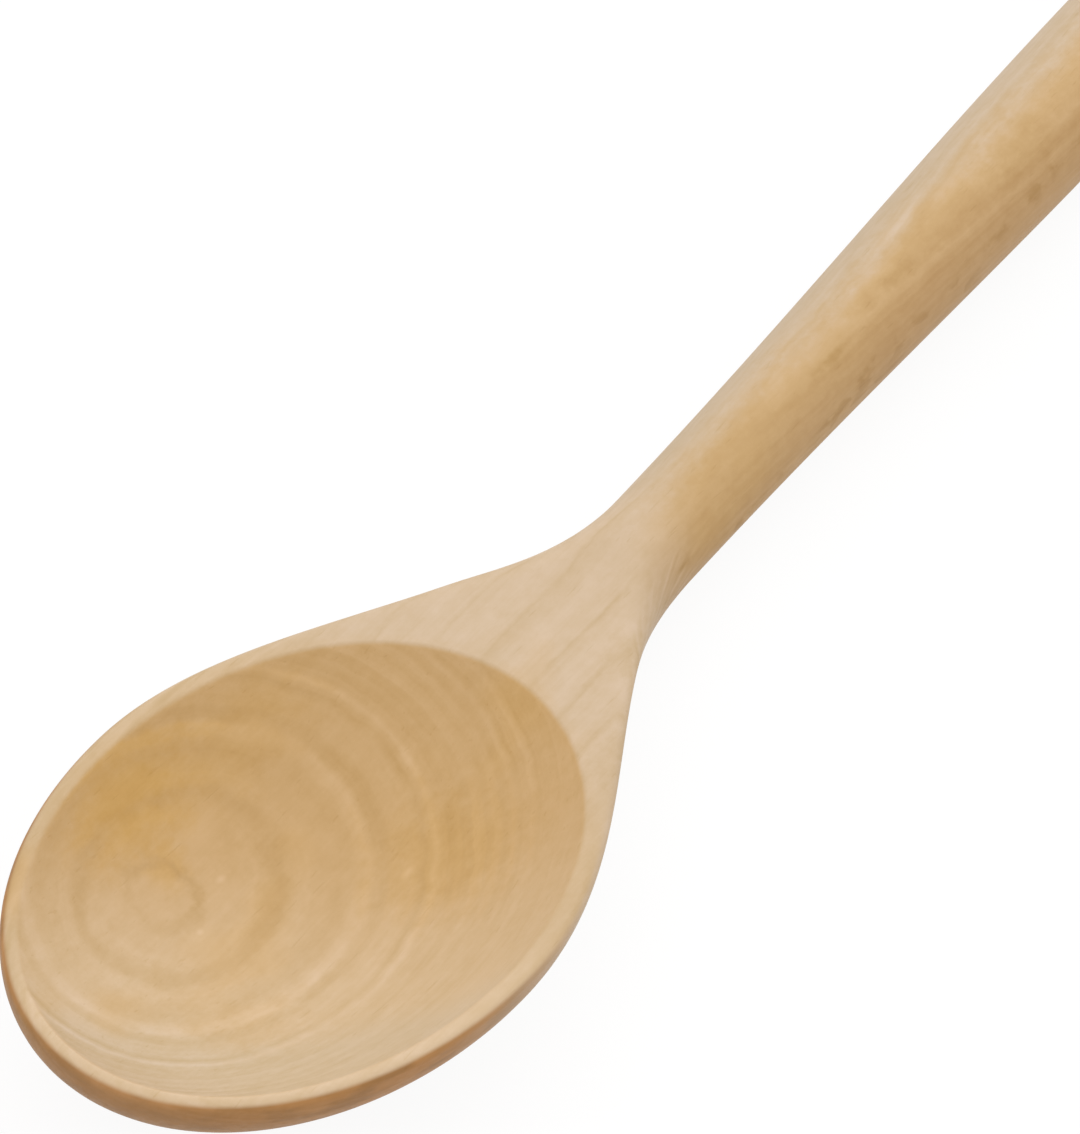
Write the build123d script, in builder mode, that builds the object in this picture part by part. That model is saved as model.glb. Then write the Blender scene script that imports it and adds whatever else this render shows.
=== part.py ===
from build123d import *

import os
from math import atan, cos, degrees, pi, radians, sin

# Bowl, measured square to its own rim. The waist is where its wall stands out furthest.
bowl_width = 64.0
nose_length = 50.0
bowl_depth = 18.0
rim_easing = 1.1

# Hollow scooped into the bowl
hollow_length = 91.0
hollow_width = 59.0
hollow_depth = 12.5
nose_rim_width = 2.0

# Shoulder, from the widest place of the bowl back to the neck
shoulder_length = 82.5
neck_width = 14.2
neck_drop = 5.0

# Handle, a turned bar that leans a little up out of the rim's plane
handle_length = 172.0
handle_lean_angle = 4.0
grip_width = 19.0
grip_distance = 130.0
end_width = 17.4
end_easing = 6.5

# How full a rounded quarter is, where 0.5523 is a true round and 1 would be a sharp corner
round_share = 0.5523
wall_share = 0.49
keel_share = 0.62
crest_share = 0.04

# Where along the shoulder the upper corners start to round off, and the top starts to climb
rounding_start_share = 0.5
climb_start_share = 0.63
tool_overrun = 3.0

# Where the cross-sections stand, along the shoulder, up the taper, and on to the handle's end
shoulder_shares = (0.0, 0.12, 0.25, 0.38, 0.5, 0.6, 0.7, 0.8, 0.9, 1.0)
taper_shares = (0.15, 0.4, 0.7, 1.0)
end_shares = (0.4, 0.8, 1.0)

half_bowl = bowl_width / 2
half_neck = neck_width / 2
half_hollow = hollow_width / 2
lean = radians(handle_lean_angle)


def between(start, end, share):
    return start + (end - start) * share


def ease(share):
    """goes from 0 to 1 with a level start and a level end"""
    return (1 - cos(pi * share)) / 2


def after(start_share, share):
    """how far a share has come since start_share, from 0 to 1"""
    return max(0, share - start_share) / (1 - start_share)


def handle_line(distance):
    """height of the handle's centre line, drawn on forward of the neck"""
    return (distance - shoulder_length) * sin(lean) / cos(lean) - neck_drop


def keel_height(share):
    """underside of the shoulder, from the bowl's full depth to the underside of the neck"""
    neck_keel = handle_line(share * shoulder_length) - half_neck / cos(lean)
    return between(-bowl_depth, neck_keel, ease(share))


def upper_half(half_width, corner, rise):
    """level crest with a rounded corner on each side, down to the waist"""
    crest = half_width - corner
    Line((-crest, rise), (crest, rise))
    for side in (1, -1):
        Bezier(
            (side * crest, rise),
            (side * between(crest, half_width, round_share), rise),
            (side * half_width, round_share * rise),
            (side * half_width, 0),
        )


def lower_half(half_width, drop, wall, keel):
    """from the waist down each wall and in to the keel"""
    for side in (1, -1):
        Bezier(
            (side * half_width, 0),
            (side * half_width, -wall * drop),
            (side * keel * half_width, -drop),
            (0, -drop),
        )


def shoulder_section(share):
    """section square to the rim: flat-topped like the bowl at 0, round like the handle at 1"""
    distance = share * shoulder_length
    half_width = between(half_bowl, half_neck, ease(share))
    climb = ease(after(climb_start_share, share))
    rounding = after(rounding_start_share, share) ** 2
    top = climb * (handle_line(distance) + half_neck / cos(lean))
    waist = between(-rim_easing, handle_line(distance), climb)
    with BuildSketch(Plane((distance, 0, waist), x_dir=(0, 1, 0), z_dir=(1, 0, 0))) as section:
        with BuildLine():
            corner = between(rim_easing, (1 - crest_share) * half_width, rounding)
            upper_half(half_width, corner, top - waist)
            wall = between(wall_share, round_share, rounding)
            keel = between(keel_share, round_share, rounding)
            lower_half(half_width, waist - keel_height(share), wall, keel)
        make_face()
    return section.sketch


def handle_section(distance, width):
    """round section, square to the handle's own line, at a distance behind the neck"""
    radius = width / 2
    centre = (shoulder_length + distance * cos(lean), 0, distance * sin(lean) - neck_drop)
    with BuildSketch(Plane(centre, x_dir=(0, 1, 0), z_dir=(cos(lean), 0, sin(lean)))) as section:
        with BuildLine():
            upper_half(radius, (1 - crest_share) * radius, radius)
            lower_half(radius, radius, round_share, round_share)
        make_face()
    return section.sketch


# Front of the bowl: half of its widest section, turned half a round and drawn out to the nose
with BuildPart() as nose:
    with BuildSketch(Plane.XZ):
        with BuildLine():
            Polyline((0, -bowl_depth), (0, 0), (half_bowl - rim_easing, 0))
            Bezier(
                (half_bowl - rim_easing, 0),
                (between(half_bowl - rim_easing, half_bowl, round_share), 0),
                (half_bowl, (round_share - 1) * rim_easing),
                (half_bowl, -rim_easing),
            )
            Bezier(
                (half_bowl, -rim_easing),
                (half_bowl, between(-rim_easing, -bowl_depth, wall_share)),
                (keel_share * half_bowl, -bowl_depth),
                (0, -bowl_depth),
            )
        make_face()
    revolve(axis=Axis.Z, revolution_arc=180)
    scale(by=(1, nose_length / half_bowl, 1))

# Dish that scoops the hollow: a slice of a ball, drawn out to the hollow's length
with BuildPart() as dish:
    dish_radius = (half_hollow**2 + hollow_depth**2) / (2 * hollow_depth)
    with BuildSketch(Plane.XZ):
        with Locations((0, dish_radius - hollow_depth)):
            Circle(dish_radius)
        with Locations((0, tool_overrun)):
            corner_align = (Align.MIN, Align.MAX)
            Rectangle(dish_radius, hollow_depth + tool_overrun, align=corner_align, mode=Mode.INTERSECT)
    revolve(axis=Axis.Z)
    scale(by=(hollow_length / hollow_width, 1, 1))

# Shoulder and handle in one run of sections, then the nose, the hollow and the handle's round end
with BuildPart() as carved:
    sections = [shoulder_section(share) for share in shoulder_shares]
    for share in taper_shares:
        width = between(neck_width, grip_width, ease(share))
        sections.append(handle_section(share * grip_distance, width))
    for share in end_shares:
        width = between(grip_width, end_width, share**2)
        sections.append(handle_section(between(grip_distance, handle_length, share), width))
    loft(sections=sections)
    fillet(carved.faces().sort_by(Axis.X)[-1].edges(), end_easing)
    add(nose.part.fix(), rotation=(0, 0, 90))
    with Locations((hollow_length / 2 + nose_rim_width - nose_length, 0, 0)):
        add(dish.part, mode=Mode.SUBTRACT)

# Laid down to rest: the bowl's back and the underside of the handle both touch the table
handle_rests = [
    (
        shoulder_length + distance * cos(lean),
        distance * sin(lean) - neck_drop - width / 2 * cos(lean),
    )
    for distance, width in ((grip_distance, grip_width), (handle_length, end_width))
]
keel_slopes = [
    min((z - keel_height(share)) / (x - share * shoulder_length) for x, z in handle_rests)
    for share in shoulder_shares
]
rest_angle = degrees(atan(max(keel_slopes)))
with BuildPart() as laid:
    add(carved.part, rotation=(0, rest_angle, 0))
box = laid.part.bounding_box()

with BuildPart() as spoon:
    with Locations((-box.center().X, 0, -box.min.Z)):
        add(laid.part)
spoon.part.label = "spoon"

os.makedirs("parts", exist_ok=True)
export_step(spoon.part, "parts/spoon.step")
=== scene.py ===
# A large wooden cooking spoon, lying on its back on a plain pale floor.
import math
from collections import namedtuple
from types import SimpleNamespace

import bmesh
import bpy
import numpy as np
from mathutils import Matrix, Vector


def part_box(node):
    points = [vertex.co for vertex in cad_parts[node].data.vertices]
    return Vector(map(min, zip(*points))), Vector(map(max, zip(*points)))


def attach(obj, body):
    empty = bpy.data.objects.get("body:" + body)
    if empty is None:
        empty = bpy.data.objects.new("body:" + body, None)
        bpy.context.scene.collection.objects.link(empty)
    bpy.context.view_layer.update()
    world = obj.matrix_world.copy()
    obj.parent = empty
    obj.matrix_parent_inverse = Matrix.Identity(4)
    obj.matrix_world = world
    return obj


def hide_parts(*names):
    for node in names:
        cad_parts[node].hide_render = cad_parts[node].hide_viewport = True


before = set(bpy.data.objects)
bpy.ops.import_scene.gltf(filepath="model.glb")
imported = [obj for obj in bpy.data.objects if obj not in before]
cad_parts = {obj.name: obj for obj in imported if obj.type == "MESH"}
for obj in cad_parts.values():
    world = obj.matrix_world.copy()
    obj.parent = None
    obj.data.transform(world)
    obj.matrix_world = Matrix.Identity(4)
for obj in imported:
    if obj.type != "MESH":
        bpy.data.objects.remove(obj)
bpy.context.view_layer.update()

mm = 0.001

# Sizes of the spoon in millimetres, measured square to the bowl's rim: x runs back from the widest
# place of the bowl, y runs across and z up from the rim
spoonSizes = {
    "bowlWidth": 64.0,
    "noseLength": 50.0,
    "bowlDepth": 18.0,
    "rimEasing": 1.1,
    "shoulderEasing": 1.3,  # how much wider the worn edge of the shoulder is than the rim's
    "hollowLength": 91.0,
    "hollowWidth": 59.0,
    "hollowDepth": 12.5,
    "noseRimWidth": 2.0,
    "lipEasing": 0.5,
    "lipShare": 0.9,  # the most of a narrow rim that the eased lip may take
    "shoulderLength": 82.5,
    "neckWidth": 14.2,
    "neckDrop": 5.0,
    "handleLength": 172.0,
    "handleLean": math.radians(4.0),
    "gripWidth": 19.0,
    "gripDistance": 130.0,
    "endWidth": 17.4,
    "endEasing": 6.5,
    "endCrown": 0.25,  # how far the middle of the handle's end stands out
    "roundShare": 0.5523,  # a Bezier quarter this full is round
    "wallShare": 0.49,
    "keelShare": 0.62,
    "crestShare": 0.04,
    "roundingStart": 0.5,
    "climbStart": 0.63,
    "joinDistance": 47.0,  # where the bowl's grid hands over to the handle's
    "restAngle": math.radians(3.7533),
}

# Steps of the grids that the spoon's skin is made of
spoonGrid = {
    "rimSteps": 260,  # round the rim, from one side of the join to the other by way of the nose
    "joinSteps": 44,  # across the join
    "dishRings": 56,
    "lipRings": 8,
    "flatRings": 10,
    "cornerRings": 10,
    "lowerRings": 44,
    "shoulderSteps": 60,
    "handleSteps": 130,
    "endSteps": 16,
    "capRings": 6,  # over the flat of the handle's end
    "arcSteps": 60,  # for measuring along a corner
    "halvings": 50,  # for finding where a ray leaves the rim
    "farthest": 3.0,  # no ray goes on for more than this many times its way to the lip
    "dishSpacing": 0.9,
    "lowerSpacing": 1.3,
    "weldDistance": 0.01,
    "leastEdge": 0.002,
}


def between(start, end, share):  # start, plus the share of the way on to the end
    return start + (end - start) * share


def ease(share):  # 0 to 1, level at both ends: half of one minus the cosine of half a turn times the share
    return (1 - np.cos(np.pi * np.clip(share, 0, 1))) / 2


def after(startShare, share):  # 0 up to startShare, then rising evenly to 1
    return np.clip((share - startShare) / (1 - startShare), 0, 1)


def bezier(a, b, c, d, t):  # a cubic: the four points weighted by the powers of t and 1 - t
    return (1 - t) ** 3 * a + 3 * (1 - t) ** 2 * t * b + 3 * (1 - t) * t**2 * c + t**3 * d


def quarterShares(steps, power):  # 0 to 1, ever closer: the sine of steps through a quarter turn, to a power
    return np.sin(np.linspace(0, np.pi / 2, steps + 1)) ** power


def distanceAlong(y, z):  # the lengths of the short lines from point to point, added up from 0
    return np.append(0, np.cumsum(np.hypot(np.diff(y), np.diff(z))))


# x of the hollow's middle, and the radius of the ball that cuts it at its widest: half the width
# squared plus the depth squared, over twice the depth
def hollowShape():
    s = spoonSizes
    centre = s["hollowLength"] / 2 + s["noseRimWidth"] - s["noseLength"]
    ball = ((s["hollowWidth"] / 2) ** 2 + s["hollowDepth"] ** 2) / (2 * s["hollowDepth"])
    return centre, ball


def levelNose():  # how far the level rim reaches to the nose: the nose less its easing, both drawn out alike
    s = spoonSizes
    return s["noseLength"] * (1 - s["rimEasing"] * 2 / s["bowlWidth"])


# Every cross-section has a level crest, a corner, a wall and a keel. Its numbers are half its width,
# the heights of its top, waist and keel, the size of its corner, and how full the wall and keel are.
Section = namedtuple("Section", "width top waist keel corner wallFull keelFull")


def climbShare(x):  # how far the top has climbed from the rim to the handle's line
    return ease(after(spoonSizes["climbStart"], np.clip(x / spoonSizes["shoulderLength"], 0, 1)))


# Sections at the distances x. From the bowl to the neck the width and keel ease over, the top climbs
# to the handle's line, and the corner grows until it is round. Before the widest place the width
# follows an ellipse.
def crossSections(x):
    s = spoonSizes
    halfBowl, halfNeck = s["bowlWidth"] / 2, s["neckWidth"] / 2
    share = np.clip(x / s["shoulderLength"], 0, 1)
    nose = np.sqrt(np.clip(1 - (np.minimum(x, 0) / s["noseLength"]) ** 2, 0, 1))
    halfWidth = between(halfBowl, halfNeck, ease(share)) * nose
    line = (x - s["shoulderLength"]) * math.tan(s["handleLean"]) - s["neckDrop"]
    lineHalf = halfNeck / math.cos(s["handleLean"])
    climb = climbShare(x)
    rounding = after(s["roundingStart"], share) ** 2
    worn = s["rimEasing"] + s["shoulderEasing"] * ease(share / s["roundingStart"])
    return Section(
        width=halfWidth,
        top=climb * (line + lineHalf),
        waist=between(-s["rimEasing"], line, climb),
        keel=between(-s["bowlDepth"], line - lineHalf, ease(share)),
        corner=between(worn, (1 - s["crestShare"]) * halfWidth, rounding),
        wallFull=between(s["wallShare"], s["roundShare"], rounding),
        keelFull=between(s["keelShare"], s["roundShare"], rounding),
    )


# Rounded corner of a section, from the end of the crest down to the waist, as a Bezier quarter: y
# out from the middle, and z up from the waist
def cornerArc(halfWidth, corner, rise, t):
    full = spoonSizes["roundShare"]
    crest = halfWidth - corner
    y = bezier(crest, crest + full * corner, halfWidth, halfWidth, t)
    return y, bezier(rise, rise, full * rise, 0, t)


# Lower half of a section, from the waist down the wall and in to the keel, as one Bezier cubic
def lowerHalf(section):
    t = quarterShares(spoonGrid["lowerRings"], spoonGrid["lowerSpacing"])
    width, _, waist, keel, _, wallFull, keelFull = (value[:, None] for value in section)
    y = bezier(width, width, keelFull * width, 0 * width, t)
    z = bezier(waist, waist - wallFull * (waist - keel), keel, keel, t)
    return y, z


# Upper half of a section, from the middle of the crest out and down to the waist: a level line and
# a rounded corner. The points stand at the given shares of its length.
def upperHalf(section, shares):
    t = np.linspace(0, 1, spoonGrid["arcSteps"])
    ys, zs = [], []
    for width, up, low, _, arc, _, _ in zip(*section):
        arcY, arcZ = cornerArc(width, arc, up - low, t)
        y, z = np.append(0, arcY), np.append(up, low + arcZ)
        run = distanceAlong(y, z)
        ys.append(np.interp(shares * run[-1], run, y))
        zs.append(np.interp(shares * run[-1], run, z))
    return np.array(ys), np.array(zs)


# Rays run out over the bowl from the middle of the hollow, at angles of the hollow's own ellipse:
# round the rim by way of the nose, then across the join. A ray's length of 1 ends at the lip.
def bowlRays():
    s, g = spoonSizes, spoonGrid
    halfLong, halfWide, join = s["hollowLength"] / 2, s["hollowWidth"] / 2, s["joinDistance"]
    centre = hollowShape()[0]
    atJoin = crossSections(np.array([join]))
    joinHalf = float(atJoin.width[0] - atJoin.corner[0])
    joinAlong = (join - centre) / halfLong
    start = math.atan2(joinHalf / halfWide, joinAlong)
    rimAngles = np.linspace(start, 2 * np.pi - start, g["rimSteps"] + 1)
    across = np.linspace(-1, 1, g["joinSteps"] + 1)
    joinAngles = np.arctan2(across * joinHalf / halfWide, joinAlong)
    angles = np.append(rimAngles, joinAngles[1:-1] + 2 * np.pi)
    x, y = halfLong * np.cos(angles), halfWide * np.sin(angles)

    # How far each ray goes before the level rim ends, found by halving the step
    low, high = np.ones(len(angles)), np.full(len(angles), g["farthest"])
    for _ in range(g["halvings"]):
        reach = (low + high) / 2
        pointX, pointY = centre + reach * x, reach * y
        section = crossSections(pointX)
        nose = np.sqrt(np.clip(1 - (pointX / levelNose()) ** 2, 0, 1))
        crest = np.where(
            pointX < 0,
            (s["bowlWidth"] / 2 - s["rimEasing"]) * nose,
            section.width - section.corner,
        )
        inside = (np.abs(pointY) < crest) & (pointX < join)
        low, high = np.where(inside, reach, low), np.where(inside, high, reach)
    onJoin = np.arange(len(angles)) > g["rimSteps"]
    reach = np.where(onJoin, (join - centre) / np.where(onJoin, x, 1), reach)
    return SimpleNamespace(x=x, y=y, reach=reach, across=across * joinHalf)


# Top of the bowl along each ray. The dish is a slice of the ball: its height is the ball's radius
# less the depth, less the root of the radius squared less the run squared. A parabola rounds the lip,
# and the rest is level.
def topGrid(rays):
    s, g = spoonSizes, spoonGrid
    centre, ball = hollowShape()
    halfWide, depth = s["hollowWidth"] / 2, s["hollowDepth"]
    length = np.hypot(rays.x, rays.y)
    steep = halfWide**2 / math.sqrt(ball**2 - halfWide**2) / length
    eased = np.minimum(s["lipEasing"], s["lipShare"] * (rays.reach - 1) * length)
    lip = eased / length
    runs = np.vstack([
        quarterShares(g["dishRings"], g["dishSpacing"])[:, None] * (1 - lip),
        1 + np.linspace(-1, 1, g["lipRings"] + 1)[1:, None] * lip,
        between(1 + lip, rays.reach, np.linspace(0, 1, g["flatRings"] + 1)[1:, None]),
    ])
    away = (runs - 1) * length
    dish = ball - depth - np.sqrt(np.clip(ball**2 - (np.minimum(runs, 1) * halfWide) ** 2, 0, None))
    rounded = -steep * np.clip(eased - away, 0, None) ** 2 / (4 * eased)
    # The parabola meets the dish's tangent, which the true dish leaves a little: shift it to fit
    lipDish = ball - depth - np.sqrt(ball**2 - ((1 - lip) * halfWide) ** 2)
    miss = lipDish + steep * eased
    rounded = rounded + miss * np.clip(1 - away / eased, 0, 2) ** 2 / 4
    z = np.where(away < -eased, dish, rounded)
    return np.stack([centre + runs * rays.x, runs * rays.y, z], -1)


# Skin outside the level rim: round the corner, down the wall and in to the keel. Before the widest
# place, half of the widest section is turned about the middle and drawn out to the nose.
def skinGrid(rimX):
    s, g = spoonSizes, spoonGrid
    section = crossSections(np.maximum(rimX, 0))
    width, top, waist, _, corner, _, _ = (value[:, None] for value in section)
    t = np.linspace(0, 1, g["cornerRings"] + 1)
    cornerY, cornerZ = cornerArc(width, corner, top - waist, t)
    lowY, lowZ = lowerHalf(section)
    profileY = np.hstack([cornerY, lowY[:, 1:]])
    profileZ = np.hstack([waist + cornerZ, lowZ[:, 1:]])
    turn = np.arcsin(np.clip(rimX / levelNose(), -1, 0))[:, None]
    front = (rimX < 0)[:, None]
    side = np.where(np.arange(len(rimX)) * 2 < len(rimX), 1, -1)[:, None]
    drawn = np.sin(turn) * profileY * s["noseLength"] * 2 / s["bowlWidth"]
    skinX = np.where(front, drawn, rimX[:, None])
    skinY = np.where(front, np.cos(turn), 1) * profileY * side
    return np.stack([skinX, skinY, profileZ], -1).transpose(1, 0, 2)


# Shares of the upper half's length at which its points stand, so that the first section of the
# shoulder repeats the points of the join: evenly over the crest, then down the corner
def joinShares(across):
    t = np.linspace(0, 1, spoonGrid["cornerRings"] + 1)
    section = crossSections(np.array([spoonSizes["joinDistance"]]))
    width, top, waist, _, corner, _, _ = (float(value[0]) for value in section)
    run = distanceAlong(*cornerArc(width, corner, top - waist, t)) + across[-1]
    return np.append(across[len(across) // 2 :], run[1:]) / run[-1]


# Whole sections: the right half down to the keel and the left half back up, tilted about their
# middles. A point goes back by z times the tilt's sine and up by z times its cosine.
def sectionRings(centreX, centreZ, tilt, upper, lower):
    y = np.hstack([upper[0], lower[0][:, 1:]])
    z = np.hstack([upper[1], lower[1][:, 1:]])
    y = np.hstack([y, -y[:, -2:0:-1]])
    z = np.hstack([z, z[:, -2:0:-1]])
    x = centreX[:, None] - z * np.sin(tilt)[:, None]
    return np.stack([x, y, centreZ[:, None] + z * np.cos(tilt)[:, None]], -1)


# Shoulder from the join to the neck: the cross-sections, ever more tilted to the handle's lean
def shoulderRings(shares):
    s = spoonSizes
    x = np.linspace(s["joinDistance"], s["shoulderLength"], spoonGrid["shoulderSteps"] + 1)
    section = crossSections(x)
    waist = section.waist[:, None]
    upY, upZ = upperHalf(section, shares)
    lowY, lowZ = lowerHalf(section)
    tilt = climbShare(x) * s["handleLean"]
    return sectionRings(x, section.waist, tilt, (upY, upZ - waist), (lowY, lowZ - waist))


# Handle: round sections along its lean. The radius eases from the neck to the grip, falls beyond it
# with the square of the way, rounds off as a quarter circle and closes over a slight crown.
def handleRings(shares):
    s, g = spoonSizes, spoonGrid
    neck, grip, end = s["neckWidth"] / 2, s["gripWidth"] / 2, s["endWidth"] / 2
    length, gripAt, lean = s["handleLength"], s["gripDistance"], s["handleLean"]
    body = np.linspace(0, length - s["endEasing"], g["handleSteps"] + 1)[1:]
    beyond = np.clip((body - gripAt) / (length - gripAt), 0, 1)
    radius = np.where(body < gripAt, between(neck, grip, ease(body / gripAt)), between(grip, end, beyond**2))
    turn = np.linspace(0, np.pi / 2, g["endSteps"] + 1)[1:]
    endAlong = length - s["endEasing"] * (1 - np.sin(turn))
    endRadius = radius[-1] - s["endEasing"] * (1 - np.cos(turn))
    cap = np.linspace(1, 0, g["capRings"] + 1)[1:]
    along = np.concatenate([body, endAlong, length + s["endCrown"] * (1 - cap**2)])
    radius = np.concatenate([radius, endRadius, endRadius[-1] * cap])
    full = np.full(len(along), s["roundShare"])
    section = Section(radius, radius, 0 * radius, -radius, (1 - s["crestShare"]) * radius, full, full)
    upper, lower = upperHalf(section, shares), lowerHalf(section)
    centreX = s["shoulderLength"] + along * math.cos(lean)
    centreZ = along * math.sin(lean) - s["neckDrop"]
    return sectionRings(centreX, centreZ, np.full(len(along), lean), upper, lower)


class MeshParts:  # gathers grids of points, and makes them one mesh
    def __init__(self):
        self.points, self.faces, self.count = [], [], 0

    def addGrid(self, grid, closed=False):  # rows by columns of points, with a quad between neighbours
        rows, columns = grid.shape[:2]
        index = np.arange(rows * columns).reshape(rows, columns) + self.count
        if closed:
            index = np.hstack([index, index[:, :1]])
        quads = np.stack([index[:-1, :-1], index[1:, :-1], index[1:, 1:], index[:-1, 1:]], -1)
        self.points.append(grid.reshape(-1, 3))
        self.faces.append(quads.reshape(-1, 4))
        self.count += rows * columns

    def build(self, name):  # all points in metres, with all faces
        mesh = bpy.data.meshes.new(name)
        mesh.from_pydata((np.vstack(self.points) * mm).tolist(), [], np.vstack(self.faces).tolist())
        return mesh


# The whole skin: the top of the bowl, the wall that hangs from the rim, and the shoulder and handle
def spoonPoints():
    parts = MeshParts()
    rays = bowlRays()
    top = topGrid(rays)
    parts.addGrid(top, closed=True)
    parts.addGrid(skinGrid(top[-1, : spoonGrid["rimSteps"] + 1, 0]))
    shares = joinShares(rays.across)
    parts.addGrid(np.vstack([shoulderRings(shares), handleRings(shares)]), closed=True)
    return parts


# The rest pose turns the bowl's frame about Y and sets the lowest point on the floor
def restMatrix(points):
    turn = Matrix.Rotation(spoonSizes["restAngle"], 4, "Y")
    turned = points @ np.array(turn.to_3x3()).T
    box = np.array(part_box("spoon"))
    shift = Vector((box[0][0] - turned[:, 0].min(), 0, box[0][2] - turned[:, 2].min()))
    return Matrix.Translation(shift) @ turn


# Merges points that lie together, drops edges of no length, turns the faces outward and smooths them
def weld(mesh):
    g = spoonGrid
    bm = bmesh.new()
    bm.from_mesh(mesh)
    bmesh.ops.remove_doubles(bm, verts=bm.verts, dist=g["weldDistance"] * mm)
    bmesh.ops.dissolve_degenerate(bm, edges=bm.edges, dist=g["leastEdge"] * mm)
    bmesh.ops.recalc_face_normals(bm, faces=bm.faces)
    print("  open edges", sum(1 for e in bm.edges if not e.is_manifold), "faces", len(bm.faces))
    bm.to_mesh(mesh)
    bm.free()
    mesh.polygons.foreach_set("use_smooth", np.ones(len(mesh.polygons), bool))


parts = spoonPoints()
spoonMesh = parts.build("wooden_spoon")
toRest = restMatrix(np.vstack(parts.points) * mm)
spoonMesh.transform(toRest)
weld(spoonMesh)
spoon = bpy.data.objects.new("wooden_spoon", spoonMesh)
bpy.context.scene.collection.objects.link(spoon)
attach(spoon, "root")
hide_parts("spoon")
print("spoon built", len(spoonMesh.vertices), "points")

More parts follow.
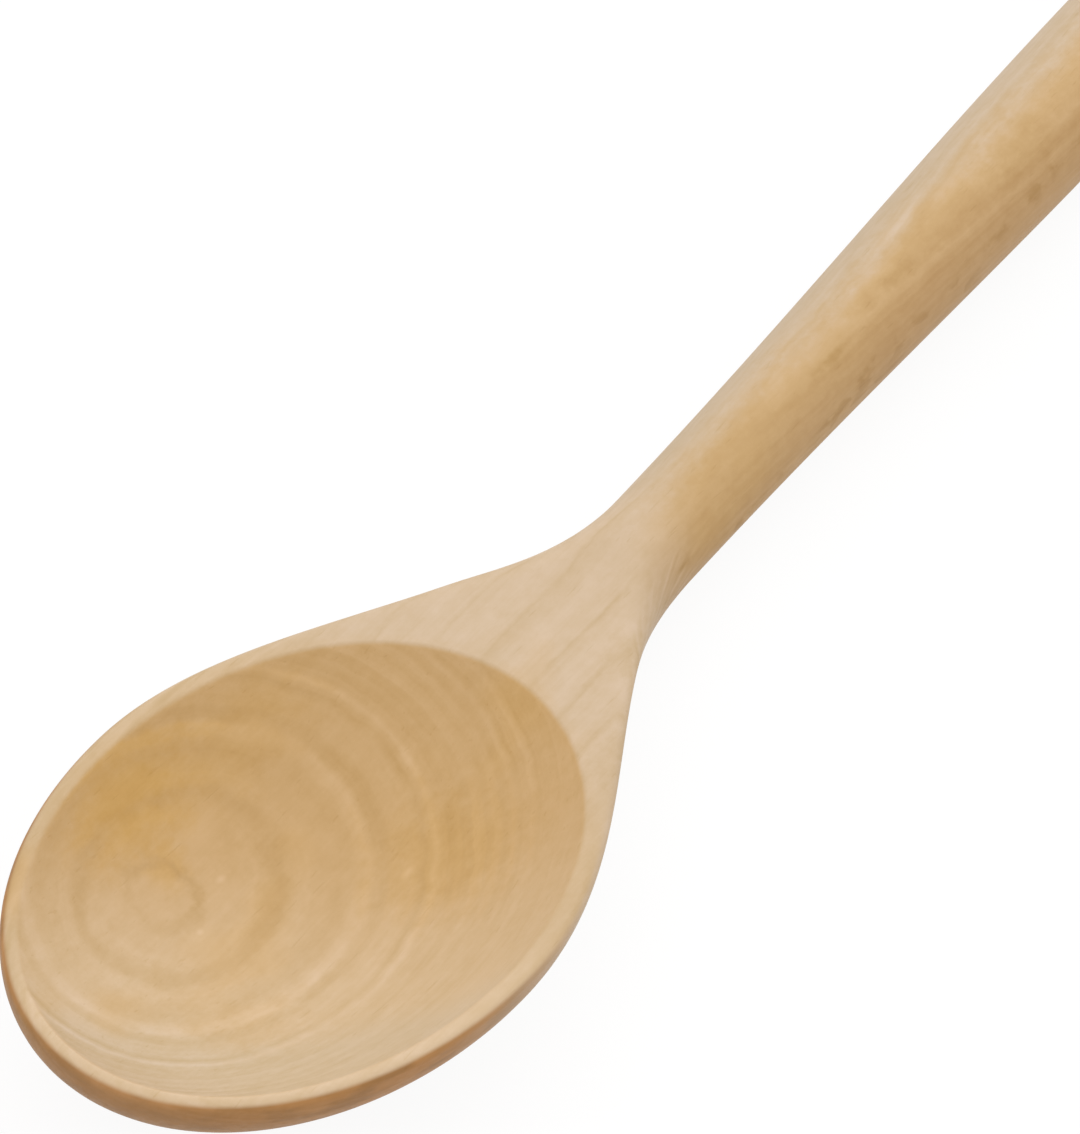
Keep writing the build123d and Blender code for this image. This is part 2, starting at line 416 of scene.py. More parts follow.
# Wood of the spoon. Lengths are millimetres in the bowl's own frame, colours are sRGB. A stretch is
# the pair of values between which one look fades into the next.
spoonWood = {
    "colours": {
        "flat": (0.813, 0.708, 0.576),
        "hollow": (0.805, 0.658, 0.452),
        # painted sheen: the hollow's paler, then greyer tones toward its lower side
        "paleHollow": (0.828, 0.712, 0.553),
        "hollowEnd": (0.810, 0.714, 0.578),
        "upperRim": (0.808, 0.690, 0.528),
        # painted highlight: the brighter rim along the lower side, where its eased edge catches the light
        "lowerRim": (0.850, 0.737, 0.592),
        # partly painted shade: the wall under the rim is darker brown wood, painted darker still as shaded
        "wall": (0.722, 0.518, 0.300),
        "wallPatch": (0.650, 0.466, 0.262),
        # painted light: the paler lit side of the handle
        "handlePale": (0.788, 0.692, 0.568),
        "handle": (0.795, 0.650, 0.442),
        # painted shade: the darker right edge of the handle, on its shaded side
        "handleEdge": (0.768, 0.610, 0.412),
        "endGrain": (0.640, 0.480, 0.315),
        "ochre": (0.800, 0.625, 0.330),
    },
    # painted sheen in the hollow and a painted highlight on its rim both grow this way
    "paleDirection": (-0.72, -0.70),  # the hollow and its rim grow paler this way
    "paleStretch": (-16.0, 21.0),
    "hollowEndStretch": (17.0, 29.0),
    "lowerRimStretch": (12.0, 28.0),
    "rimEnd": (16.0, 40.0),
    "overLip": 0.22,  # how far the hollow's colour runs over its lip on the upper side
    "wallStretch": (-0.08, -0.50),
    "wallPatchStretch": (0.40, 0.65),
    "wallToFlat": (-22.0, 18.0),
    "drift": 9.0,  # how far the clouds push the borders of the colours about
    "handleSlant": -0.8,
    "handleStretch": (69.0, 92.0),
    "handleAcross": (4.8, -2.5),
    "handleEdge": (-1.0, -9.5),
    "handleRagged": {"drift": 0.6, "mottle": 4.0, "rings": 22.0},  # how far each pushes those borders
    "endGrainStretch": (0.35, 1.0),
    "endGrainShare": 0.6,
    "ochreStretch": (0.56, 0.72),
    "ochreShare": 0.3,
    "ochreOnRim": 0.5,
    # stains: place, how far they reach along and across, and how strong they are
    "stains": (
        {"place": (-4.0, 25.0, -4.0), "reach": (17.0, 9.0), "strength": 0.75},
        {"place": (14.0, 21.0, -5.0), "reach": (22.0, 8.0), "strength": 0.30},
        {"place": (-6.7, 16.7, -8.8), "reach": (4.5, 4.0), "strength": 0.50},
        {"place": (18.5, -9.0, -9.2), "reach": (15.0, 12.0), "strength": 0.42},
        {"place": (-21.0, -4.0, -10.5), "reach": (11.0, 9.0), "strength": 0.22},
    ),
    "stainEdge": (0.15, 1.1),
    "stainRagged": {"mottle": 0.7, "rings": -4.0},
    "rimStain": {"place": (-29.0, 25.0, 0.0), "reach": (9.0, 7.0), "strength": 0.9},
    "rimStainEdge": (0.3, 1.1),
    # small light flecks and dark strokes: place, how far they reach along and across, and how light
    "marks": (
        {"place": (-1.9, 11.3, -10.9), "reach": (1.3, 0.8), "strength": 0.09},
        {"place": (14.3, -6.0, -10.6), "reach": (2.2, 0.8), "strength": 0.11},
        {"place": (-11.0, 8.3, -11.3), "reach": (0.9, 0.7), "strength": 0.08},
        {"place": (1.2, 17.0, -8.7), "reach": (3.6, 3.6), "strength": 0.05},
        {"place": (-38.0, 9.0, -4.5), "reach": (8.0, 7.0), "strength": 0.05},
        {"place": (-8.0, -27.0, -2.0), "reach": (14.0, 6.0), "strength": 0.025},
        {"place": (56.5, -10.5, 0.0), "reach": (7.0, 4.5), "strength": -0.035},
        {"place": (42.0, -19.0, 0.0), "reach": (13.0, 4.5), "strength": -0.045},
        {"place": (3.0, 12.0, -10.5), "reach": (6.0, 5.0), "strength": -0.03},
        {"place": (20.0, -9.0, -9.0), "reach": (13.0, 11.0), "strength": -0.025},
        {"place": (111.0, -1.0, 4.3), "reach": (15.0, 4.5), "strength": 0.04},
        {"place": (174.0, -3.5, 9.8), "reach": (13.0, 4.5), "strength": -0.045},
        {"place": (-11.8, 7.8, -11.3), "reach": (3.6, 3.0), "strength": 0.035},
        {"place": (121.5, -3.6, 4.3), "reach": (7.5, 1.0), "strength": -0.11},
        {"place": (139.6, -2.6, 6.6), "reach": (5.0, 1.6), "strength": -0.06},
        {"place": (158.0, 0.4, 8.9), "reach": (9.0, 1.5), "strength": 0.05},
        {"place": (148.0, 2.0, 7.9), "reach": (8.0, 1.4), "strength": 0.04},
        {"place": (78.5, -6.5, -2.5), "reach": (3.2, 0.8), "strength": -0.12},
    ),
    "markEdge": (0.1, 1.0),
    "markRagged": 1.1,
    # a dark line of grain along the right of the handle, broken into strokes
    "strokeLine": {"across": -7.7, "width": 0.9, "wander": 3.0, "strength": -0.13, "breaks": (0.48, 0.62)},
    "mottleStrength": 0.140,
    "fibreStrength": 0.062,
    "broadStrength": 0.080,
    "poreStretch": (0.68, 0.78),
    "poreStrength": 0.050,
    "tonePowers": (1.0, 1.38, 2.7),  # dark wood is browner: green and blue fall faster than red
    "roughness": (0.58, 0.46),
    "roughnessStretch": (0.2, 0.8),
    "specular": 0.35,
    "bump": {"strength": 0.25, "height": 0.12, "rings": 3.0, "pores": -0.6},
}

# Noises of the wood: how often they repeat in a millimetre along x, y and z, and how fine they are
woodNoises = {
    "fibres": {"scale": (0.05, 1.6, 1.6), "detail": 4.0, "roughness": 0.6},
    "broad": {"scale": (0.03, 0.3, 0.3), "detail": 3.0},
    "cloud": {"scale": (0.035, 0.06, 0.06)},
    "mottle": {"scale": (0.35, 0.5, 0.5), "detail": 4.0, "roughness": 0.65},
    "pores": {"scale": (0.16, 2.2, 2.2), "move": (7, 3, 1), "detail": 1.0},
    "wallPatch": {"scale": (0.12, 0.2, 0.5), "detail": 3.0},
    "strokeBend": {"scale": (0.06, 0.2, 0.2)},
    "strokeBreak": {"scale": (0.22, 0.4, 0.4), "detail": 3.0},
}

# Growth layers. Depth through them is a plane plus squares in x and y, and the lists give the rings
# met on the way down: depth, and how light, from -1 to 1.
bowlLayers = {
    "tilt": (0.0297, -0.2006, 1.0),
    "curl": (-0.00186, 0.00062, -0.0056),
    "start": 14.147,
    "wander": 1.0,
    "span": 20.0,
    "rings": (
        (0.0, 0.2), (0.6, 0.3), (1.1, -0.9), (1.45, 0.4), (2.0, -0.4), (2.5, -0.5), (3.05, 0.9),
        (3.7, -0.9), (4.2, 0.0), (4.8, 0.15), (5.2, -0.6), (5.7, 0.8), (6.1, 0.2), (6.4, -0.9),
        (6.8, 0.1), (7.2, -0.5), (7.7, 0.5), (8.2, -0.3), (8.7, 0.4), (9.1, -0.5), (9.6, 0.5),
        (10.1, -0.8), (10.5, 0.1), (10.95, 0.8), (11.3, -0.6), (11.8, 0.1), (12.4, -0.3), (13.0, 0.2),
        (14.0, 0.3), (15.0, -0.4), (16.0, 0.4), (17.0, -0.3),
    ),
    "listStart": (-0.5, 0.2),
    "listEnd": (16.0, 17.0),
}
shoulderLayers = {
    "tilt": (0.0556, -0.1751, 0.35),
    "curl": (-0.00057, 0.00036, -0.00016),
    "start": 10.165,
    "wander": 0.4,
    "span": 16.0,
    "rings": (
        (7.0, 0.2), (7.9, -0.3), (8.3, 0.3), (8.85, 0.0), (8.93, -0.5), (9.02, 0.1), (9.5, 0.3),
        (9.9, 0.1), (10.0, -0.8), (10.08, -0.1), (10.5, 0.4), (10.9, 0.2), (11.0, -1.0), (11.1, -0.2),
        (11.6, 0.4), (12.1, 0.1), (12.2, -1.0), (12.28, 0.0), (12.7, 0.5), (13.0, 0.2), (13.1, -1.0),
        (13.2, 0.1), (13.6, 0.6), (13.85, 0.0), (13.95, -0.8), (14.05, 0.2), (14.5, 0.3), (15.0, -0.2),
    ),
}
handleLayers = {
    "tilt": (-0.05, -0.24, 1.0),
    "curl": (0.0, 0.0, -0.02),
    "start": 15.53,
    "wander": 2.2,
}
heartRing = {  # the small ring at the middle of them all
    "place": (-10.5, 14.4, -9.5),
    "radius": 5.0,
    "width": 1.9,
    "strength": -1.5,
    "outside": 0.25,
    "wobble": (0.45, 3.0, 4.6),  # a noise: how often it repeats, its detail and its strength
    "darkSide": (-6.0, 14.6, -9.8),
    "darkStretch": (2.5, 8.0),
    "farShare": 0.45,
    "clear": (4.5, 8.5),  # the wider rings begin outside it
}

# How the rings are drawn. A noise is how often it repeats in a millimetre, its detail and its strength.
growthLook = {
    "wander": ((0.05, 2.0, 0.5), (0.22, 3.0, 0.45), (0.8, 2.0, 0.14)),
    "strayRings": (0.75, 2.0, 4.0),
    "fineRings": (2.4, 3.0, 1.5),
    "flames": (0.9, 2.0, 0.144),
    "patches": (0.11, 2.0),
    "patchStretch": (0.3, 0.7),
    "patchShares": (0.45, 1.35),
    "ringStrength": 0.062,
    "rimShare": 0.7,
    # painted sheen: the rings fade where a sheen washes over the hollow's right side
    "fadeAcross": (-9.0, -24.0),  # the rings grow faint toward the right side of the hollow
    "fadeTo": 0.35,
    "shoulderStrength": 0.060,
    "shoulderStretch": (22.0, 36.0),
    "levelStretch": (-0.5, -0.2),
    "handleStretch": (76.0, 90.0),
    "flameMiddle": -2.5,
    "flameFade": (2.5, 7.0),
    "flameEdge": 0.5,
}


def linear(colour):  # sRGB to linear light, by the usual power of 2.4
    return tuple(c / 12.92 if c <= 0.04045 else ((c + 0.055) / 1.055) ** 2.4 for c in colour) + (1.0,)


class NodeKit:  # short names for the nodes that a material is built from
    def __init__(self, material):
        material.use_nodes = True
        self.tree = material.node_tree
        self.nodes = self.tree.nodes
        self.links = self.tree.links

    def put(self, socket, value):
        if isinstance(value, bpy.types.NodeSocket):
            self.links.new(value, socket)
        else:
            socket.default_value = value

    def fill(self, node, **values):  # inputs by name, with the spaces left out
        for name, value in values.items():
            sockets = [socket for socket in node.inputs if socket.name.replace(" ", "") == name]
            self.put(sockets[0], value)

    def math(self, operation, *values):
        node = self.nodes.new("ShaderNodeMath")
        node.operation = operation
        for socket, value in zip(node.inputs, values):
            self.put(socket, value)
        return node.outputs[0]

    def total(self, *values):
        result = values[0]
        for value in values[1:]:
            result = self.math("ADD", result, value)
        return result

    def times(self, *values):
        result = values[0]
        for value in values[1:]:
            result = self.math("MULTIPLY", result, value)
        return result

    def apart(self, a, b):  # how far two values are from each other: their difference without its sign
        return self.math("ABSOLUTE", self.math("SUBTRACT", a, b))

    def centred(self, value, strength=1.0):  # a value from 0 to 1, moved to lie round 0 and scaled
        return self.times(self.math("SUBTRACT", value, 0.5), strength)

    def split(self, vector):
        node = self.nodes.new("ShaderNodeSeparateXYZ")
        self.put(node.inputs[0], vector)
        return tuple(node.outputs)

    def distance(self, a, b):
        node = self.nodes.new("ShaderNodeVectorMath")
        node.operation = "DISTANCE"
        self.put(node.inputs[0], a)
        self.put(node.inputs[1], b)
        return node.outputs["Value"]

    def smooth(self, value, start, end, low=0.0, high=1.0):  # eased step from low at start to high at end
        node = self.nodes.new("ShaderNodeMapRange")
        node.interpolation_type = "SMOOTHSTEP"
        self.fill(node, Value=value, FromMin=start, FromMax=end, ToMin=low, ToMax=high)
        return node.outputs[0]

    def mapping(self, vector, scale=(1, 1, 1), turn=(0, 0, 0), move=(0, 0, 0)):
        node = self.nodes.new("ShaderNodeMapping")
        self.fill(node, Vector=vector, Scale=scale, Rotation=turn, Location=move)
        return node.outputs[0]

    def noise(self, vector, scale=1.0, detail=2.0, roughness=0.5):
        node = self.nodes.new("ShaderNodeTexNoise")
        self.fill(node, Vector=vector, Scale=scale, Detail=detail, Roughness=roughness)
        return node.outputs["Fac"]

    def noiseAlong(self, value, scale, detail):
        node = self.nodes.new("ShaderNodeTexNoise")
        node.noise_dimensions = "1D"
        self.fill(node, W=value, Scale=scale, Detail=detail)
        return node.outputs["Fac"]

    def ramp(self, value, stops):
        node = self.nodes.new("ShaderNodeValToRGB")
        elements = node.color_ramp.elements
        node.color_ramp.interpolation = "EASE"
        while len(elements) > 1:
            elements.remove(elements[-1])
        for number, (place, tone) in enumerate(stops):
            element = elements[0] if number == 0 else elements.new(place)
            element.position = place
            element.color = (tone, tone, tone, 1)
        self.put(node.inputs["Fac"], value)
        return node.outputs["Color"]

    def mix(self, factor, a, b, blend="MIX"):  # inputs 6 and 7 and output 2 are the node's colours
        node = self.nodes.new("ShaderNodeMix")
        node.data_type, node.blend_type = "RGBA", blend
        for number, value in ((0, factor), (6, a), (7, b)):
            self.put(node.inputs[number], value)
        return node.outputs[2]

    def mixValue(self, factor, a, b):  # inputs 2 and 3 and output 0 are its plain values
        node = self.nodes.new("ShaderNodeMix")
        for number, value in ((0, factor), (2, a), (3, b)):
            self.put(node.inputs[number], value)
        return node.outputs[0]


# Depth through a stack of layers: x, y and z times their tilt, the squares times their curl, and the
# layers' share of the wander
def layerDepth(kit, axes, layers, wander):
    x, y, z = axes
    tiltX, tiltY, tiltZ = layers["tilt"]
    squares = (kit.times(x, x), kit.times(x, y), kit.times(y, y))
    curled = [kit.times(term, curl) for term, curl in zip(squares, layers["curl"])]
    plane = kit.total(kit.times(x, tiltX), kit.times(y, tiltY), kit.times(z, tiltZ), layers["start"])
    return kit.total(plane, *curled, kit.times(wander, layers["wander"]))


def ringTone(kit, depth, layers):  # the list of rings as a ramp, read at the depth, from -1 to 1
    stops = [(place / layers["span"], 0.5 + light / 2) for place, light in layers["rings"]]
    return kit.centred(kit.ramp(kit.math("DIVIDE", depth, layers["span"]), stops), 2.0)


hollowEdge = {  # how far from the ball's skin, and how far below the rim, the shares change
    "within": (0.15, 0.75),
    "below": (-0.55, -0.15),
    "outside": (0.2, 0.6),
}


# Two shares from how near a point is to the ball that cut the hollow: 1 on the hollow's skin and 0
# elsewhere, then 1 outside the hollow and its lip. The skin's colour may run out over the lip.
def hollowShare(kit, bowl, z, overLip):
    s = spoonSizes
    centre, ball = hollowShape()
    squeeze = s["hollowWidth"] / s["hollowLength"]
    squeezed = kit.mapping(bowl, scale=(squeeze, 1, 1))
    away = kit.distance(squeezed, (centre * squeeze, 0, ball - s["hollowDepth"]))
    nearEnd, farEnd = (ball + gap for gap in hollowEdge["within"])
    within = kit.smooth(kit.math("SUBTRACT", away, overLip), nearEnd, farEnd, 1.0, 0.0)
    below = kit.smooth(kit.math("SUBTRACT", z, overLip), *hollowEdge["below"], 1.0, 0.0)
    outside = kit.smooth(away, *(ball + gap for gap in hollowEdge["outside"]))
    return kit.times(within, below), outside


# Strength of a mark, a stain or a fleck. The distance from its place is 1 at its reach along x, and
# across in y and z, with the ragged values added. From one edge to the other it eases down to 0.
def markStrength(kit, bowl, mark, edge, *ragged):
    along, across = mark["reach"]
    scale = (1 / along, 1 / across, 1 / across)
    middle = tuple(length * share for length, share in zip(mark["place"], scale))
    away = kit.total(kit.distance(kit.mapping(bowl, scale=scale), middle), *ragged)
    return kit.smooth(away, *edge, mark["strength"], 0.0)


# Rings of the bowl. Their tone goes by the depth: the listed ones where the list reaches and stray
# ones elsewhere, with fine ones added. Inside them the heart ring's tone goes by the distance from it.
def bowlRings(kit, bowl, axes, wander):
    g, heart = growthLook, heartRing
    strayScale, strayDetail, strayStrength = g["strayRings"]
    fineScale, fineDetail, fineStrength = g["fineRings"]
    depth = layerDepth(kit, axes, bowlLayers, wander)
    begun = kit.smooth(depth, *bowlLayers["listStart"])
    listed = kit.times(begun, kit.smooth(depth, *bowlLayers["listEnd"], 1.0, 0.0))
    stray = kit.centred(kit.noiseAlong(depth, strayScale, strayDetail), strayStrength)
    rings = kit.mixValue(listed, stray, ringTone(kit, depth, bowlLayers))
    rings = kit.total(rings, kit.centred(kit.noiseAlong(depth, fineScale, fineDetail), fineStrength))

    scale, detail, strength = heart["wobble"]
    wobble = kit.centred(kit.noise(bowl, scale, detail), strength)
    fromHeart = kit.total(kit.distance(bowl, heart["place"]), wobble)
    offRing = kit.apart(fromHeart, heart["radius"])
    heartTone = kit.smooth(offRing, 0.0, heart["width"], heart["strength"], heart["outside"])
    fromDark = kit.distance(bowl, heart["darkSide"])
    heartTone = kit.times(heartTone, kit.smooth(fromDark, *heart["darkStretch"], 1.0, heart["farShare"]))
    return kit.mixValue(kit.smooth(fromHeart, *heart["clear"]), heartTone, rings)


# Light and dark of the growth rings: bowl, shoulder and handle each read their own layers
def growthTone(kit, bowl, axes, hollow):
    g = growthLook
    x, y, z = axes
    wander = kit.total(
        *(kit.centred(kit.noise(bowl, scale, detail), strength) for scale, detail, strength in g["wander"])
    )
    patchy = kit.smooth(kit.noise(bowl, *g["patches"]), *g["patchStretch"], *g["patchShares"])
    # Painted sheen: the rings of the hollow fade toward its right side
    fading = kit.smooth(y, *g["fadeAcross"], 1.0, g["fadeTo"])
    rings = bowlRings(kit, bowl, axes, wander)
    bowlTone = kit.times(rings, patchy, kit.mixValue(hollow, g["rimShare"], fading), g["ringStrength"])

    lines = ringTone(kit, layerDepth(kit, axes, shoulderLayers, wander), shoulderLayers)
    shoulderTone = kit.times(lines, patchy, g["shoulderStrength"])

    scale, detail, strength = g["flames"]
    flames = kit.noiseAlong(layerDepth(kit, axes, handleLayers, wander), scale, detail)
    fromMiddle = kit.apart(y, g["flameMiddle"])
    handleTone = kit.times(
        kit.centred(flames, strength),
        kit.smooth(fromMiddle, *g["flameFade"], 1.0, g["flameEdge"]),
    )
    onShoulder = kit.times(kit.smooth(x, *g["shoulderStretch"]), kit.smooth(z, *g["levelStretch"]))
    tone = kit.mixValue(onShoulder, bowlTone, shoulderTone)
    tone = kit.mixValue(hollow, tone, bowlTone)
    return kit.mixValue(kit.smooth(x, *g["handleStretch"]), tone, handleTone)


# What the colour and the light of the wood both read, at a point of the bowl's own frame: the noises,
# the shares of the hollow, the handle and the outside, and the growth rings
def woodFields(kit, place):
    w = spoonWood
    # Back from where the spoon lies to the bowl's own frame, in millimetres
    toBowl = toRest.inverted()
    bowl = kit.mapping(
        place,
        scale=(1 / mm,) * 3,
        turn=tuple(toBowl.to_euler("XYZ")),
        move=tuple(toBowl.translation / mm),
    )
    f = SimpleNamespace(bowl=bowl, axes=kit.split(bowl))
    for name, noise in woodNoises.items():
        spot = kit.mapping(bowl, scale=noise["scale"], move=noise.get("move", (0, 0, 0)))
        setattr(f, name, kit.noise(spot, 1.0, noise.get("detail", 2.0), noise.get("roughness", 0.5)))
    f.pores = kit.smooth(f.pores, *w["poreStretch"])
    x, y, z = f.axes
    f.drift = kit.centred(f.cloud, w["drift"])
    f.downhill = kit.total(kit.times(x, w["paleDirection"][0]), kit.times(y, w["paleDirection"][1]))
    overLip = kit.smooth(f.downhill, *w["lowerRimStretch"], w["overLip"], 0.0)
    f.hollow, f.offHollow = hollowShare(kit, bowl, z, overLip)
    f.onHandle = kit.smooth(kit.total(x, kit.times(y, w["handleSlant"]), f.drift), *w["handleStretch"])
    f.rings = growthTone(kit, bowl, f.axes, f.hollow)
    return f


# Colour of the wood, each look laid over the last: rim with a painted highlight on its lower side, flat,
# hollow with painted sheen on its lower side, wall partly painted shade, handle with painted light on one
# side and painted shade on the other, end grain, stains
def woodColour(kit, f, endways):
    w = spoonWood
    c = {name: linear(colour) for name, colour in w["colours"].items()}
    x, y, z = f.axes
    # Painted sheen: the hollow grows paler, then greyer, toward its lower side
    drifting = kit.total(f.downhill, f.drift)
    inHollow = kit.mix(kit.smooth(drifting, *w["paleStretch"]), c["hollow"], c["paleHollow"])
    inHollow = kit.mix(kit.smooth(drifting, *w["hollowEndStretch"]), inHollow, c["hollowEnd"])
    # Painted highlight: the rim grows brighter toward its lower side
    rim = kit.mix(kit.smooth(f.downhill, *w["lowerRimStretch"]), c["upperRim"], c["lowerRim"])
    rim = kit.mix(markStrength(kit, f.bowl, w["rimStain"], w["rimStainEdge"]), rim, c["hollow"])
    flat = kit.mix(kit.smooth(x, *w["rimEnd"]), rim, c["flat"])
    colour = kit.mix(f.hollow, flat, inHollow)

    # The wall under the rim: darker brown wood with painted shade and darker patches, fading to the flat's
    # colour toward the shoulder
    wall = kit.mix(kit.smooth(f.wallPatch, *w["wallPatchStretch"]), c["wall"], c["wallPatch"])
    wall = kit.mix(kit.smooth(x, *w["wallToFlat"]), wall, c["flat"])
    colour = kit.mix(kit.times(kit.smooth(z, *w["wallStretch"]), f.offHollow), colour, wall)

    ragged = w["handleRagged"]
    across = kit.total(
        y,
        kit.times(f.drift, ragged["drift"]),
        kit.centred(f.mottle, ragged["mottle"]),
        kit.times(f.rings, ragged["rings"]),
    )
    # Painted light and shade: the handle is paler on its lit side and darker along its shaded right edge
    handle = kit.mix(kit.smooth(across, *w["handleAcross"]), c["handlePale"], c["handle"])
    handle = kit.mix(kit.smooth(across, *w["handleEdge"]), handle, c["handleEdge"])
    colour = kit.mix(f.onHandle, colour, handle)
    ends = kit.smooth(endways, *w["endGrainStretch"], 0.0, w["endGrainShare"])
    colour = kit.mix(ends, colour, c["endGrain"])

    ochre = kit.smooth(f.cloud, *w["ochreStretch"], 0.0, w["ochreShare"])
    colour = kit.mix(kit.times(ochre, kit.mixValue(f.hollow, w["ochreOnRim"], 1.0)), colour, c["ochre"])
    mottled = kit.centred(f.mottle, w["stainRagged"]["mottle"])
    ringed = kit.times(f.rings, w["stainRagged"]["rings"])
    for stain in w["stains"]:
        strength = markStrength(kit, f.bowl, stain, w["stainEdge"], mottled, ringed)
        colour = kit.mix(kit.times(strength, f.hollow), colour, c["ochre"])
    return colour


# Light and dark of the wood, round 1: the rings, noises, pores, marks and strokes added up
def woodLight(kit, f):
    w, line = spoonWood, spoonWood["strokeLine"]
    light = kit.total(
        1.0,
        f.rings,
        kit.centred(f.mottle, w["mottleStrength"]),
        kit.centred(f.fibres, w["fibreStrength"]),
        kit.centred(f.broad, w["broadStrength"]),
        kit.times(f.pores, -w["poreStrength"]),
    )
    ragged = kit.centred(f.mottle, w["markRagged"])
    for mark in w["marks"]:
        light = kit.total(light, markStrength(kit, f.bowl, mark, w["markEdge"], ragged))
    bend = kit.centred(f.strokeBend, line["wander"])
    offLine = kit.math("ABSOLUTE", kit.total(f.axes[1], bend, -line["across"]))
    strokes = kit.smooth(offLine, 0.0, line["width"], line["strength"], 0.0)
    broken = kit.smooth(f.strokeBreak, *line["breaks"])
    return kit.total(light, kit.times(strokes, broken, f.onHandle))


# The finish: each channel of the colour is multiplied by the light to that channel's power, fibres
# change the roughness, and fibres, rings and pores make a fine relief
def makeSpoonWood():
    w, bumpLook = spoonWood, spoonWood["bump"]
    material = bpy.data.materials.new("spoonWood")
    kit = NodeKit(material)
    shader = kit.nodes["Principled BSDF"]
    place = kit.nodes.new("ShaderNodeTexCoord")
    fields = woodFields(kit, place.outputs["Object"])
    endways = kit.math("ABSOLUTE", kit.split(place.outputs["Normal"])[0])
    colour = woodColour(kit, fields, endways)
    light = woodLight(kit, fields)
    tone = kit.nodes.new("ShaderNodeCombineXYZ")
    for socket, power in zip(tone.inputs, w["tonePowers"]):
        kit.put(socket, kit.math("POWER", light, power))
    kit.put(shader.inputs["Base Color"], kit.mix(1.0, colour, tone.outputs[0], "MULTIPLY"))
    roughness = kit.smooth(fields.fibres, *w["roughnessStretch"], *w["roughness"])
    kit.put(shader.inputs["Roughness"], roughness)
    kit.put(shader.inputs["Specular IOR Level"], w["specular"])

    bump = kit.nodes.new("ShaderNodeBump")
    kit.put(bump.inputs["Strength"], bumpLook["strength"])
    kit.put(bump.inputs["Distance"], bumpLook["height"] * mm)
    raised = kit.times(fields.rings, bumpLook["rings"])
    sunk = kit.times(fields.pores, bumpLook["pores"])
    kit.put(bump.inputs["Height"], kit.total(fields.fibres, raised, sunk))
    kit.put(shader.inputs["Normal"], bump.outputs[0])
    return material


spoonMesh.materials.append(makeSpoonWood())
print("wood made")

# Camera, as fitted to the photograph's outline: a rotation vector and a position in the bowl's frame
cameraFit = {
    "turn": (2.12377, -1.09095, 0.68923),
    "shift": (-27.2029, 34.58983, 855.36053),
    "focal": 7000.0,
    "height": 1134,
    "sensor": 36.0,
    "clip": (0.05, 20),
}


# The rows of the turned frame are the view's right, down and forward, and the camera stands where
# they bring the shift back to nothing
def addCamera():
    f = cameraFit
    turn = Vector(f["turn"])
    rows = Matrix.Rotation(turn.length, 3, turn.normalized())
    place = -(rows.transposed() @ Vector(f["shift"])) * mm
    right, down, forward = rows
    axes = Matrix((right, -down, -forward)).transposed().to_4x4()
    data = bpy.data.cameras.new("camera")
    data.sensor_width = f["sensor"]
    data.lens = f["focal"] * f["sensor"] / f["height"]
    data.clip_start, data.clip_end = f["clip"]
    camera = bpy.data.objects.new("camera", data)
    camera.matrix_world = toRest @ Matrix.Translation(place) @ axes
    bpy.context.scene.collection.objects.link(camera)
    bpy.context.scene.camera = camera
    return camera


camera = addCamera()
print("camera at", tuple(round(v, 3) for v in camera.matrix_world.translation))

# Floor and lamps. Places are metres to the right of the view, away from it and up.
stageSetup = {
    "floorSize": 3.0,
    "floorColour": (0.62, 0.61, 0.60, 1),
    "floorRoughness": 0.9,
    "floorSpecular": 0.1,
    "shadowShare": 0.16,
    "floorWhite": 1.09,
    "worldLight": 0.82,
    "lampTarget": (-0.06, 0, 0.015),
    "lamps": {
        "windowLamp": {
            "place": (0.22, 0.95, 0.60),
            "size": (1.4, 0.8),
            "power": 4.7,
            "colour": (1.0, 0.99, 0.98),
        },
        "fillLamp": {
            "place": (-0.5, -0.6, 1.2),
            "size": (1.6, 1.0),
            "power": 2.0,
            "colour": (1.0, 0.97, 0.94),
        },
    },
}


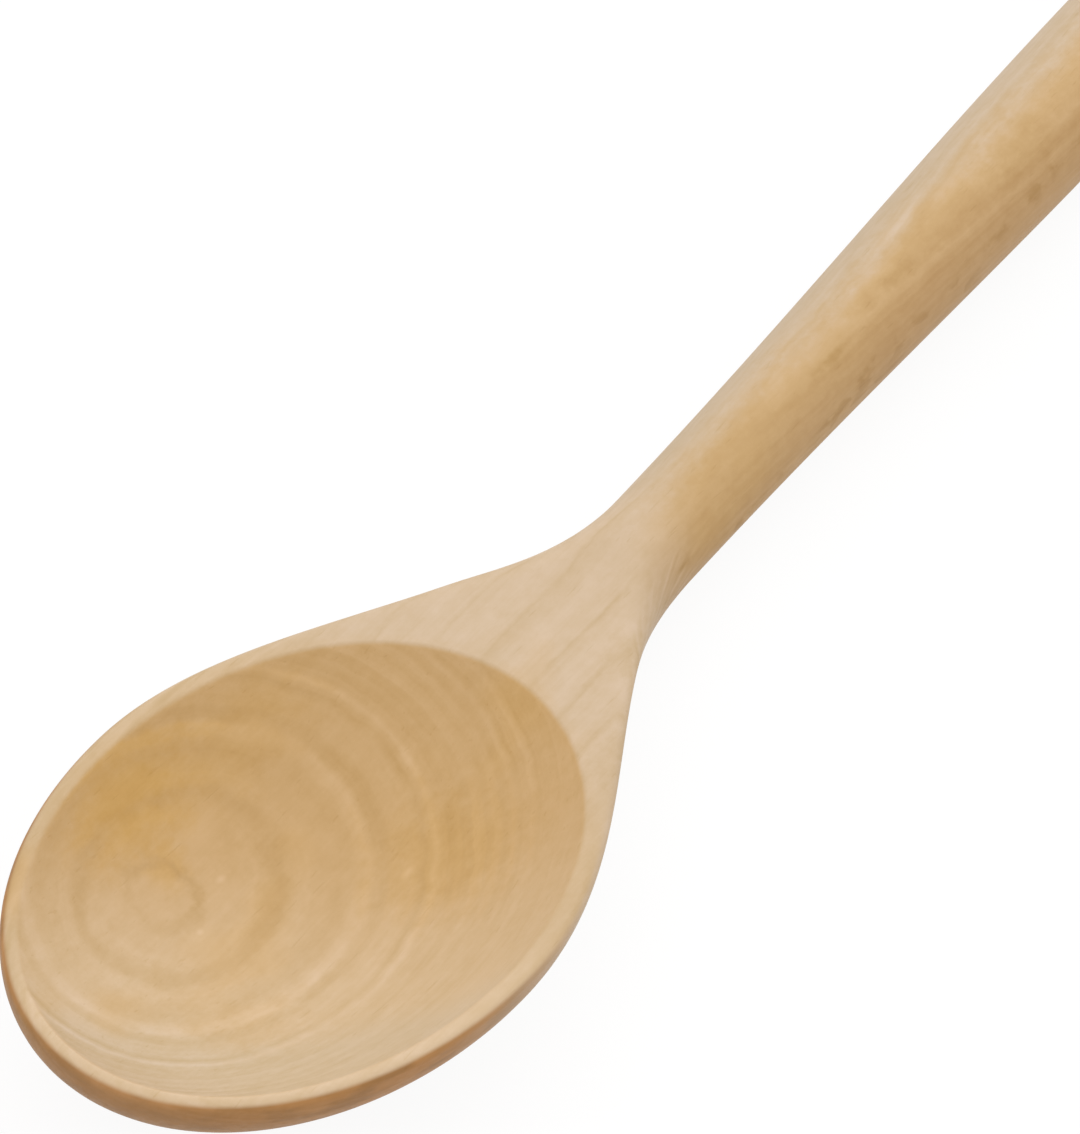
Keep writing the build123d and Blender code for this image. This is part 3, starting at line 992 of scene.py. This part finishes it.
def addFloor():  # one square face, which the camera sees nearly white but for the spoon's shadow
    s = stageSetup
    size = s["floorSize"]
    mesh = bpy.data.meshes.new("floor")
    corners = [(-size, -size, 0), (size, -size, 0), (size, size, 0), (-size, size, 0)]
    mesh.from_pydata(corners, [], [(0, 1, 2, 3)])
    material = bpy.data.materials.new("paleFloor")
    kit = NodeKit(material)
    shader = kit.nodes["Principled BSDF"]
    kit.put(shader.inputs["Base Color"], s["floorColour"])
    kit.put(shader.inputs["Roughness"], s["floorRoughness"])
    kit.put(shader.inputs["Specular IOR Level"], s["floorSpecular"])
    white = kit.nodes.new("ShaderNodeEmission")
    kit.put(white.inputs["Strength"], s["floorWhite"])
    path = kit.nodes.new("ShaderNodeLightPath")
    seen = kit.math("MAXIMUM", path.outputs["Is Camera Ray"], path.outputs["Is Glossy Ray"])
    blend = kit.nodes.new("ShaderNodeMixShader")
    kit.put(blend.inputs[0], kit.times(seen, 1 - s["shadowShare"]))
    kit.put(blend.inputs[1], shader.outputs[0])
    kit.put(blend.inputs[2], white.outputs[0])
    kit.put(kit.nodes["Material Output"].inputs["Surface"], blend.outputs[0])
    mesh.materials.append(material)
    floor = bpy.data.objects.new("floor", mesh)
    bpy.context.scene.collection.objects.link(floor)


def addWorld():  # the camera sees it plain white, and as a light it is a little weaker
    world = bpy.data.worlds.new("studio")
    bpy.context.scene.world = world
    world.use_nodes = True
    nodes, links = world.node_tree.nodes, world.node_tree.links
    background = nodes["Background"]
    background.inputs["Color"].default_value = (1, 1, 1, 1)
    path = nodes.new("ShaderNodeLightPath")
    strength = nodes.new("ShaderNodeMapRange")
    strength.inputs["To Min"].default_value = stageSetup["worldLight"]
    links.new(path.outputs["Is Camera Ray"], strength.inputs["Value"])
    links.new(strength.outputs[0], background.inputs["Strength"])


def addLamps():  # soft rectangles round the view, each facing the target
    view = camera.matrix_world
    right = view.to_3x3().col[0].normalized()
    away = Vector((0, 0, 1)).cross(right).normalized()
    target = Vector(stageSetup["lampTarget"])
    for name, lamp in stageSetup["lamps"].items():
        data = bpy.data.lights.new(name, "AREA")
        data.shape = "RECTANGLE"
        data.size, data.size_y = lamp["size"]
        data.energy = lamp["power"]
        data.color = lamp["colour"]
        rightward, outward, up = lamp["place"]
        obj = bpy.data.objects.new(name, data)
        obj.location = target + right * rightward + away * outward + Vector((0, 0, up))
        obj.rotation_euler = (target - obj.location).to_track_quat("-Z", "Y").to_euler()
        bpy.context.scene.collection.objects.link(obj)


addFloor()
addWorld()
addLamps()
print("stage and lamps set")
bpy.context.scene.view_settings.view_transform = "Standard"
